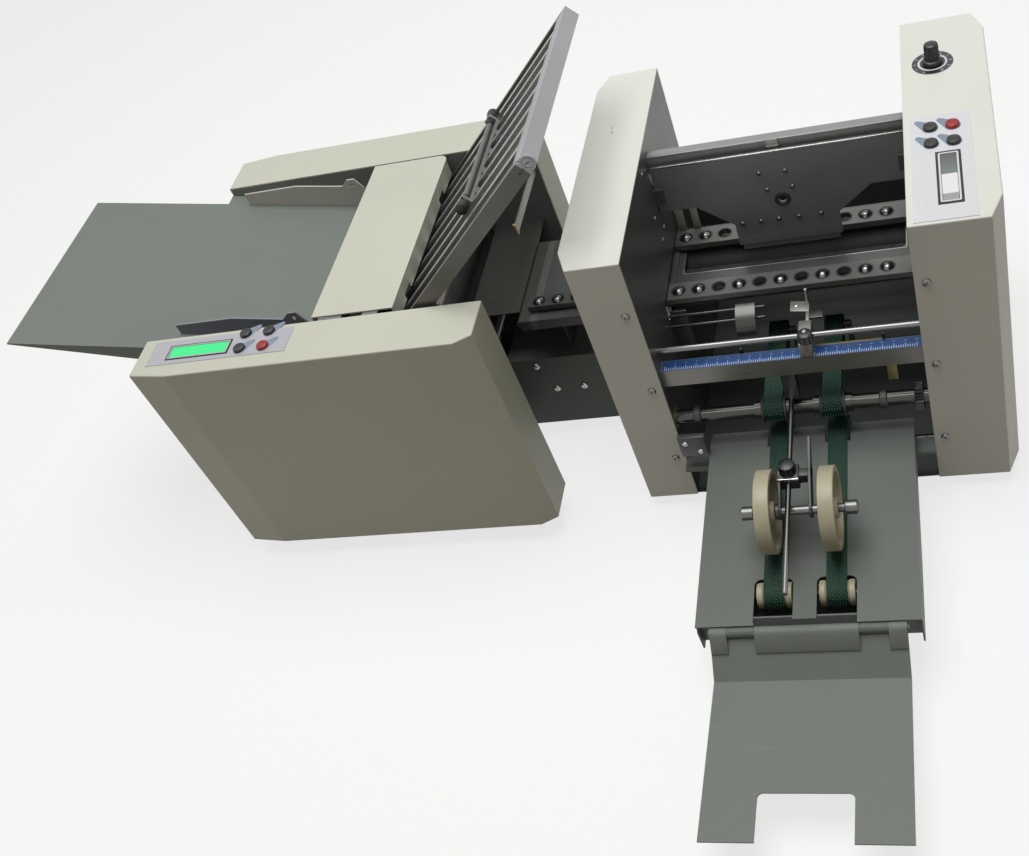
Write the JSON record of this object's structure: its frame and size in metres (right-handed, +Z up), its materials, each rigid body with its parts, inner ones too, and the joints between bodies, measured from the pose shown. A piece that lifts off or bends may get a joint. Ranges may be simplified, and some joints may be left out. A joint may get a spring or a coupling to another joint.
{
  "type": "paper folding machine",
  "caption": "Desk paper folding machine: feed tray with a tilted fold plate, then a knife cross-folding unit with a belt delivery table and hinged flap.",
  "frame": {"origin": "on the desk, under the middle of the object's outline", "axes": "+X is the feeding direction along the first unit, from the feed tray to the second unit; +Y points away from the side where sheets are delivered; +Z is up"},
  "size_m": [0.9782, 0.706, 0.4292],
  "materials": {
    "cream_paint": "satin warm off-white paint",
    "light_paint": "satin light grey-white paint",
    "plate_grey": "dark grey paint",
    "pan_grey": "grey paint",
    "tray_green": "grey-green textured paint",
    "bright_steel": "polished",
    "brushed_steel": "brushed",
    "knife_grey": "dark grey paint",
    "roller_rubber": "ground rubber",
    "black_plastic": "matt",
    "red_plastic": "gloss",
    "cream_plastic": "matt",
    "belt_green": "smooth belt",
    "panel_film": "printed film",
    "display_black": "gloss",
    "board_green": "board",
    "inlet_black": "matt",
    "brass": "sintered",
    "foot_rubber": "matt",
    "motor_steel": "cast and turned"
  },
  "bodies": {
    "chassis": {"main_near_cover": "cream_paint", "main_far_cover": "cream_paint", "main_frame_plates": "plate_grey", "cross_frame_plates": "plate_grey", "base_pans": "pan_grey", "main_tie_bars": "brushed_steel", "rubber_feet": "foot_rubber", "feed_tray": "tray_green", "roller_bearings": "brass", "upper_plate_frame": "pan_grey", "upper_plate_grille": "brushed_steel", "lower_fold_plate": "brushed_steel", "control_panels": "panel_film", "displays": "display_black", "control_electronics": "board_green", "power_inlet": "inlet_black", "drive_motors": "motor_steel", "drive_belts": "foot_rubber", "cross_left_cover": "light_paint", "cross_right_cover": "light_paint", "transfer_table": "tray_green", "bridge_box": "tray_green", "register_table": "brushed_steel", "ball_rails": "brushed_steel", "register_balls": "bright_steel", "cross_bars": "pan_grey", "ruler_bar": "brushed_steel", "guide_rods": "bright_steel", "delivery_belts": "belt_green", "delivery_table": "tray_green", "cover_screws": "bright_steel"},
    "near_side_guide": {"near_side_guide": "plate_grey"},
    "far_side_guide": {"far_side_guide": "brushed_steel"},
    "feeder_cover": {"feeder_cover": "cream_paint"},
    "feed_roller": {"feed_roller": "roller_rubber"},
    "fold_roller_1": {"fold_roller_1": "roller_rubber"},
    "fold_roller_2": {"fold_roller_2": "roller_rubber"},
    "fold_roller_3": {"fold_roller_3": "roller_rubber"},
    "fold_roller_4": {"fold_roller_4": "roller_rubber"},
    "upper_paper_stop": {"upper_paper_stop": "plate_grey"},
    "stop_clamp_shaft": {"stop_clamp_shaft": "black_plastic"},
    "main_button_1": {"main_button_1": "black_plastic"},
    "main_button_2": {"main_button_2": "red_plastic"},
    "main_button_3": {"main_button_3": "black_plastic"},
    "main_button_4": {"main_button_4": "black_plastic"},
    "cross_button_1": {"cross_button_1": "black_plastic"},
    "cross_button_2": {"cross_button_2": "black_plastic"},
    "cross_button_3": {"cross_button_3": "black_plastic"},
    "cross_button_4": {"cross_button_4": "red_plastic"},
    "speed_knob": {"speed_knob": "black_plastic"},
    "folding_knife": {"folding_knife": "knife_grey"},
    "cross_roller_1": {"cross_roller_1": "roller_rubber"},
    "cross_roller_2": {"cross_roller_2": "roller_rubber"},
    "rod_clamp": {"rod_clamp": "black_plastic"},
    "belt_drive_roller": {"belt_drive_roller": "bright_steel"},
    "delivery_drive_shaft": {"delivery_drive_shaft": "bright_steel"},
    "belt_tail_roller": {"belt_tail_roller": "cream_plastic"},
    "delivery_flap": {"delivery_flap": "tray_green"},
    "stacker_carrier": {"stacker_carrier": "brushed_steel"},
    "stacker_wheels": {"stacker_wheels": "cream_plastic"}
  },
  "joints": [
    {"name": "feed_roller_spin", "type": "hinge", "parent": "chassis", "child": "feed_roller", "pos_m": [-0.13386, 0.05105, 0.2601], "axis": [0, 1, 0], "continuous": true},
    {"name": "fold_roller_1_spin", "type": "hinge", "parent": "chassis", "child": "fold_roller_1", "pos_m": [-0.10909, 0.05105, 0.23667], "axis": [0, 1, 0], "continuous": true},
    {"name": "fold_roller_2_spin", "type": "hinge", "parent": "chassis", "child": "fold_roller_2", "pos_m": [-0.08862, 0.05105, 0.21433], "axis": [0, 1, 0], "continuous": true},
    {"name": "fold_roller_3_spin", "type": "hinge", "parent": "chassis", "child": "fold_roller_3", "pos_m": [-0.06015, 0.05105, 0.20397], "axis": [0, 1, 0], "continuous": true},
    {"name": "fold_roller_4_spin", "type": "hinge", "parent": "chassis", "child": "fold_roller_4", "pos_m": [-0.06015, 0.05105, 0.17367], "axis": [0, 1, 0], "continuous": true},
    {"name": "cross_roller_1_spin", "type": "hinge", "parent": "chassis", "child": "cross_roller_1", "pos_m": [0.17514, 0.1834, 0.16502], "axis": [1, 0, 0], "continuous": true},
    {"name": "cross_roller_2_spin", "type": "hinge", "parent": "chassis", "child": "cross_roller_2", "pos_m": [0.17514, 0.2137, 0.16502], "axis": [1, 0, 0], "continuous": true},
    {"name": "belt_drive_spin", "type": "hinge", "parent": "chassis", "child": "belt_drive_roller", "pos_m": [0.17514, 0.04705, 0.115], "axis": [1, 0, 0], "continuous": true},
    {"name": "delivery_drive_spin", "type": "hinge", "parent": "chassis", "child": "delivery_drive_shaft", "pos_m": [0.17514, 0.04455, 0.0568], "axis": [1, 0, 0], "continuous": true},
    {"name": "belt_tail_spin", "type": "hinge", "parent": "chassis", "child": "belt_tail_roller", "pos_m": [0.20264, -0.13245, 0.0644], "axis": [1, 0, 0], "continuous": true},
    {"name": "stacker_wheel_spin", "type": "hinge", "parent": "stacker_carrier", "child": "stacker_wheels", "pos_m": [0.27114, -0.08054, 0.11754], "axis": [1, 0, 0], "continuous": true},
    {"name": "speed_knob_turn", "type": "hinge", "parent": "chassis", "child": "speed_knob", "pos_m": [0.44214, 0.26005, 0.325], "axis": [0, 0, 1], "range_deg": [-150, 150]},
    {"name": "stop_clamp_turn", "type": "hinge", "parent": "upper_paper_stop", "child": "stop_clamp_shaft", "pos_m": [0.02622, 0.05105, 0.35544], "axis": [0, 1, 0], "range_deg": [0, 90]},
    {"name": "delivery_flap_hinge", "type": "hinge", "parent": "chassis", "child": "delivery_flap", "pos_m": [0.20264, -0.17195, 0.06747], "axis": [-1, 0, 0], "range_deg": [0, 90]},
    {"name": "near_guide_slide", "type": "slide", "parent": "chassis", "child": "near_side_guide", "axis": [0, 1, 0], "range_m": [-0.008, 0.06]},
    {"name": "far_guide_slide", "type": "slide", "parent": "chassis", "child": "far_side_guide", "axis": [0, -1, 0], "range_m": [-0.004, 0.06]},
    {"name": "feeder_cover_lift", "type": "slide", "parent": "chassis", "child": "feeder_cover", "axis": [0, 0, 1], "range_m": [0, 0.04]},
    {"name": "upper_stop_slide", "type": "slide", "parent": "chassis", "child": "upper_paper_stop", "axis": [0.7373, 0, 0.6756], "range_m": [-0.094, 0.094]},
    {"name": "knife_stroke", "type": "slide", "parent": "chassis", "child": "folding_knife", "axis": [0, 0, 1], "range_m": [-0.013, 0], "stiffness_N_per_m": 1500, "springref_m": 0.006},
    {"name": "rod_clamp_slide", "type": "slide", "parent": "chassis", "child": "rod_clamp", "axis": [1, 0, 0], "range_m": [-0.08, 0.08]},
    {"name": "stacker_slide", "type": "slide", "parent": "chassis", "child": "stacker_carrier", "axis": [0, 0.9986, 0.0532], "range_m": [-0.025, 0.025]},
    {"name": "main_button_1_press", "type": "slide", "parent": "chassis", "child": "main_button_1", "axis": [0, 0, 1], "range_m": [-0.0015, 0], "stiffness_N_per_m": 400, "springref_m": 0.0005},
    {"name": "main_button_2_press", "type": "slide", "parent": "chassis", "child": "main_button_2", "axis": [0, 0, 1], "range_m": [-0.0015, 0], "stiffness_N_per_m": 400, "springref_m": 0.0005},
    {"name": "main_button_3_press", "type": "slide", "parent": "chassis", "child": "main_button_3", "axis": [0, 0, 1], "range_m": [-0.0015, 0], "stiffness_N_per_m": 400, "springref_m": 0.0005},
    {"name": "main_button_4_press", "type": "slide", "parent": "chassis", "child": "main_button_4", "axis": [0, 0, 1], "range_m": [-0.0015, 0], "stiffness_N_per_m": 400, "springref_m": 0.0005},
    {"name": "cross_button_1_press", "type": "slide", "parent": "chassis", "child": "cross_button_1", "axis": [0, 0, 1], "range_m": [-0.0015, 0], "stiffness_N_per_m": 400, "springref_m": 0.0005},
    {"name": "cross_button_2_press", "type": "slide", "parent": "chassis", "child": "cross_button_2", "axis": [0, 0, 1], "range_m": [-0.0015, 0], "stiffness_N_per_m": 400, "springref_m": 0.0005},
    {"name": "cross_button_3_press", "type": "slide", "parent": "chassis", "child": "cross_button_3", "axis": [0, 0, 1], "range_m": [-0.0015, 0], "stiffness_N_per_m": 400, "springref_m": 0.0005},
    {"name": "cross_button_4_press", "type": "slide", "parent": "chassis", "child": "cross_button_4", "axis": [0, 0, 1], "range_m": [-0.0015, 0], "stiffness_N_per_m": 400, "springref_m": 0.0005}
  ],
  "couplings": [
    {"joint": "fold_roller_2_spin", "follows": "fold_roller_1_spin", "ratio": -1},
    {"joint": "fold_roller_3_spin", "follows": "fold_roller_1_spin", "ratio": 1},
    {"joint": "fold_roller_4_spin", "follows": "fold_roller_1_spin", "ratio": -1},
    {"joint": "cross_roller_2_spin", "follows": "cross_roller_1_spin", "ratio": -1},
    {"joint": "belt_drive_spin", "follows": "cross_roller_1_spin", "ratio": -1},
    {"joint": "delivery_drive_spin", "follows": "cross_roller_1_spin", "ratio": -1},
    {"joint": "belt_tail_spin", "follows": "cross_roller_1_spin", "ratio": -2.5455}
  ]
}
